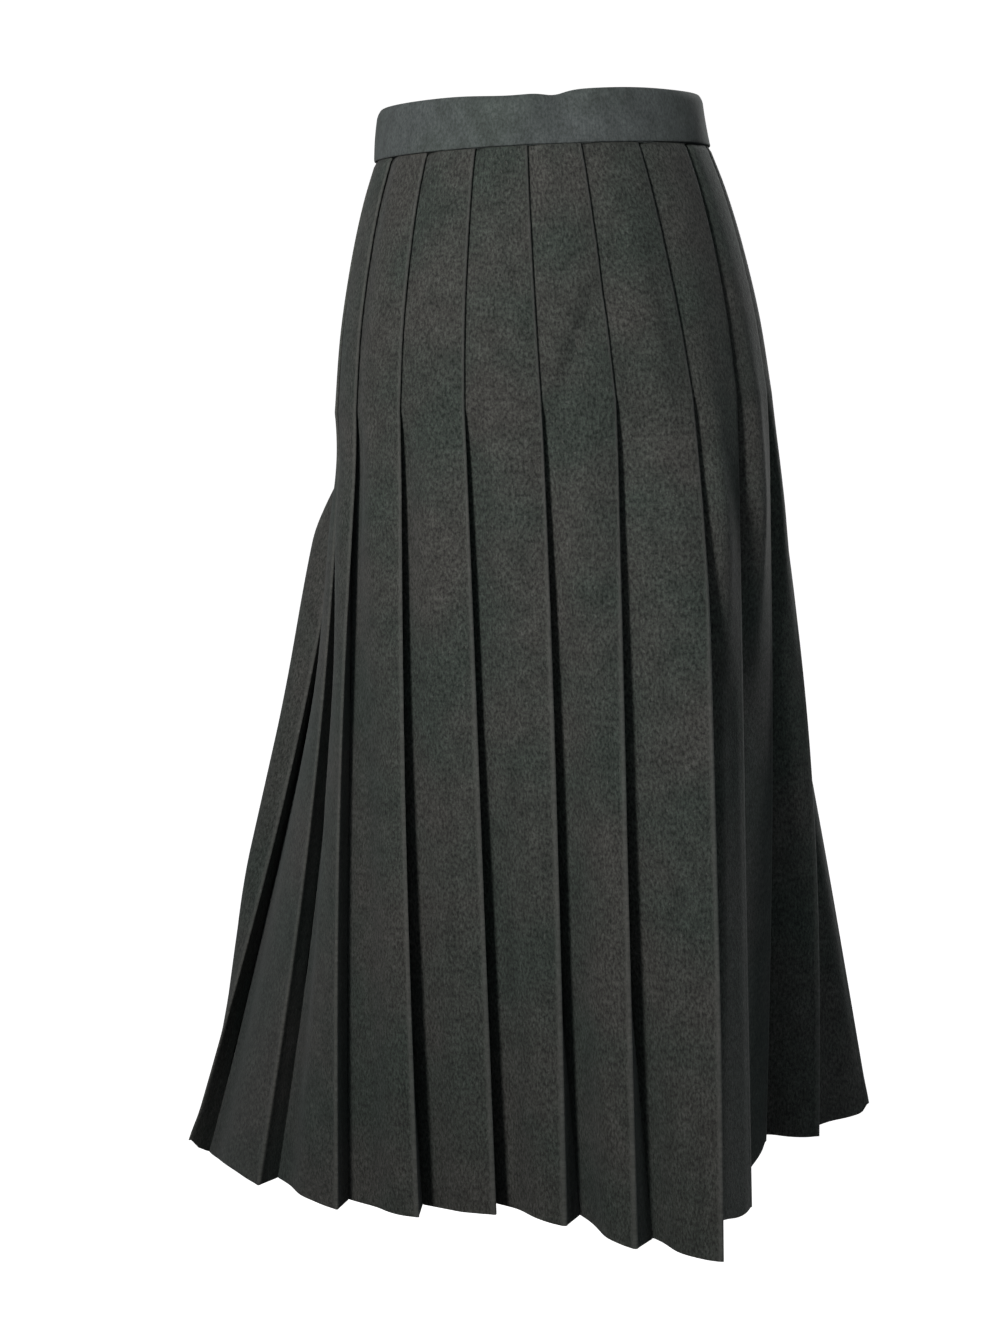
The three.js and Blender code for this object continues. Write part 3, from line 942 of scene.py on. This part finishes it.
class SKIRT_OT_waistband(bpy.types.Operator):
    """Makes the pressed waistband with its lapped end"""

    bl_idname = "skirt.waistband"
    bl_label = "Waistband"

    def execute(self, context):
        sizes = context.scene.skirt_cloth
        look = context.scene.skirt_look
        step_in = BAND_THICKNESS + SEAM + LAP_CLEAR
        corner = [math.pi / 2 * n / BAND_ROUND_STEPS for n in range(BAND_ROUND_STEPS + 1)]
        outer = [(BAND_ROUND * (1 - math.cos(turn)), BAND_ROUND * (math.sin(turn) - 1)) for turn in corner]
        inside = BAND_HEIGHT - 2 * BAND_ROUND
        outer += [(BAND_ROUND + inside * n / BAND_ROWS, 0.0) for n in range(1, BAND_ROWS)]
        outer += [(BAND_HEIGHT - d, o) for d, o in reversed(outer[: BAND_ROUND_STEPS + 1])]
        inner = [(d, -BAND_THICKNESS - o) for d, o in outer]
        sections, uvs = [], []
        for n in range(BAND_STEPS + 1):
            turned = n / BAND_STEPS * (360 + LAP_LENGTH)
            angle = math.radians(LAP_START + turned)
            inset = step_in * (1 - smoothstep(turned, LAP_LENGTH + 1, LAP_LENGTH + 1 + LAP_EASE))
            padding = BAND_ALLOWANCE * (1 - smoothstep(turned, *ALLOWANCE_ENDS))
            loop = [band_point(angle, d, o - inset, sizes.dent) for d, o in outer]
            for d, o in reversed(inner):
                filled = padding * smoothstep(d, *ALLOWANCE_AT)
                loop.append(band_point(angle, d, o - inset - filled, sizes.dent))
            sections.append(loop[::-1])
            along = turned / 360 * BAND_LENGTH
            places = [(along, -d) for d, _ in outer]
            uvs += (places + places[::-1])[::-1]
        wool = wool_material("band_wool", look, look.band, look.band_cast, 0.5)
        verts = [v for section in sections for v in section]
        faces, groups = loft(sections)
        groups = ["rim" if group == "rim" else "wall" for group in groups]
        piece = add_object("waistband_cloth", verts, faces, uvs, groups)
        finish_piece(piece, wool, "band_wool", "waistband")
        return {"FINISHED"}


class SKIRT_OT_button(bpy.types.Operator):
    """Gives the button its horn and sews it on"""

    bl_idname = "skirt.button"
    bl_label = "Button"

    def execute(self, context):
        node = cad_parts["button"]
        node.data.materials.clear()
        node.data.materials.append(horn_material())
        low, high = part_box("button")
        centre = (low + high) / 2
        angle = math.radians(BUTTON_ANGLE)
        out = Vector((math.cos(angle) * BAND_TOP[1], math.sin(angle) * BAND_TOP[0], 0)).normalized()
        up = Vector((0, 0, 1))
        side = up.cross(out).normalized()
        thread = thread_material()
        parts = []
        for row in (-1, 1):
            for beside in (-THREAD_GAP, 0.0, THREAD_GAP):
                start = centre + up * (row * HOLE_FROM_MIDDLE + beside)
                path = []
                for n in range(THREAD_STEPS + 1):
                    t = n / THREAD_STEPS
                    lift = THREAD_LOW + THREAD_RISE * math.sin(math.pi * t)
                    path.append(start + side * lerp(-HOLE_FROM_MIDDLE, HOLE_FROM_MIDDLE, t) + out * lift)
                parts.append(strand(path, THREAD_RADIUS))
        verts, faces = join(parts)
        finish_piece(add_object("button_thread", verts, faces), thread, "button_horn")
        return {"FINISHED"}


# Stage and camera


class SKIRT_OT_stage(bpy.types.Operator):
    """Makes the pale floor, the lights and the camera"""

    bl_idname = "skirt.stage"
    bl_label = "Studio"

    def execute(self, context):
        self.floor()
        self.lights(context)
        self.camera(context)
        return {"FINISHED"}

    def floor(self):
        verts, faces = [], []
        for rise, radius in FLOOR_RINGS:
            for n in range(FLOOR_SIDES):
                turn = 2 * math.pi * n / FLOOR_SIDES
                verts.append(Vector((radius * math.cos(turn), radius * math.sin(turn), rise - FLOOR_DEPTH)))
        faces.append(tuple(range(FLOOR_SIDES)))
        for r in range(len(FLOOR_RINGS) - 1):
            lower, upper = r * FLOOR_SIDES, (r + 1) * FLOOR_SIDES
            for n in range(FLOOR_SIDES):
                m = (n + 1) % FLOOR_SIDES
                faces.append((lower + n, upper + n, upper + m, lower + m))
        floor = add_object("studio_floor", verts, faces)
        floor.data.materials.append(floor_material())
        floor.visible_diffuse = False
        floor.visible_glossy = False
        floor.visible_shadow = False

    def lights(self, context):
        for lamp in LAMPS:
            data = bpy.data.lights.new(lamp.name, "AREA")
            data.shape = "DISK"
            data.size = lamp.size
            data.energy = lamp.power
            data.spread = math.radians(lamp.spread)
            data.color = lamp.colour
            light = bpy.data.objects.new(lamp.name, data)
            light.location = lamp.place
            light.rotation_euler = (Vector(lamp.aim) - Vector(lamp.place)).to_track_quat("-Z", "Y").to_euler()
            context.scene.collection.objects.link(light)
        world = bpy.data.worlds.new("studio")
        world.use_nodes = True
        tree = world.node_tree
        around = tree.nodes.new("ShaderNodeTexCoord").outputs["Generated"]
        side = direction(tree, around, Vector((0.75, 0.35, 0.55)))
        back = direction(tree, around, Vector((0.1, -0.95, 0.15)))
        side_glow = ramp(tree, side, (0.25, 0.02), (0.95, 0.08))
        back_glow = ramp(tree, back, (0.6, 0.0), (0.95, 0.14))
        glow = colour_mix(tree, 1.0, side_glow, back_glow, "ADD")
        tree.links.new(glow, tree.nodes["Background"].inputs[0])
        context.scene.world = world
        context.scene.view_settings.view_transform = "Standard"

    def camera(self, context):
        data = bpy.data.cameras.new("camera")
        data.sensor_fit = "VERTICAL"
        data.sensor_height = SENSOR_HEIGHT
        data.lens = SENSOR_HEIGHT * FOCAL_PIXELS / PHOTO_HEIGHT
        camera = bpy.data.objects.new("camera", data)
        ahead = Vector((0, -math.cos(CAMERA_PITCH), -math.sin(CAMERA_PITCH)))
        right = Vector((-1, 0, 0))
        up = right.cross(ahead)
        c, s = math.cos(CAMERA_ROLL), math.sin(CAMERA_ROLL)
        rolled_right = right * c - up * s
        rolled_up = right * s + up * c
        turn = Matrix((rolled_right, rolled_up, -ahead)).transposed()
        camera.matrix_world = Matrix.Translation(CAMERA_PLACE) @ turn.to_4x4()
        context.scene.collection.objects.link(camera)
        context.scene.camera = camera


class SKIRT_PT_panel(bpy.types.Panel):
    """Lists the skirt's settings and pieces"""

    bl_idname = "SKIRT_PT_panel"
    bl_label = "Pleated skirt"
    bl_space_type = "VIEW_3D"
    bl_region_type = "UI"
    bl_category = "Skirt"

    def draw(self, context):
        for group in (context.scene.skirt_cloth, context.scene.skirt_look):
            for name in group.__annotations__:
                self.layout.prop(group, name)
        for operator in PIECES:
            self.layout.operator(operator.bl_idname)


PIECES = (SKIRT_OT_waistband, SKIRT_OT_cloth, SKIRT_OT_button, SKIRT_OT_stage)
CLASSES = (SkirtCloth, SkirtLook, *PIECES, SKIRT_PT_panel)


def register():
    for item in CLASSES:
        bpy.utils.register_class(item)
    bpy.types.Scene.skirt_cloth = PointerProperty(type=SkirtCloth)
    bpy.types.Scene.skirt_look = PointerProperty(type=SkirtLook)


def unregister():
    del bpy.types.Scene.skirt_look
    del bpy.types.Scene.skirt_cloth
    for item in reversed(CLASSES):
        bpy.utils.unregister_class(item)


def main():
    register()
    bpy.ops.skirt.waistband()
    bpy.ops.skirt.cloth()
    bpy.ops.skirt.button()
    bpy.ops.skirt.stage()


if __name__ == "__main__":
    main()
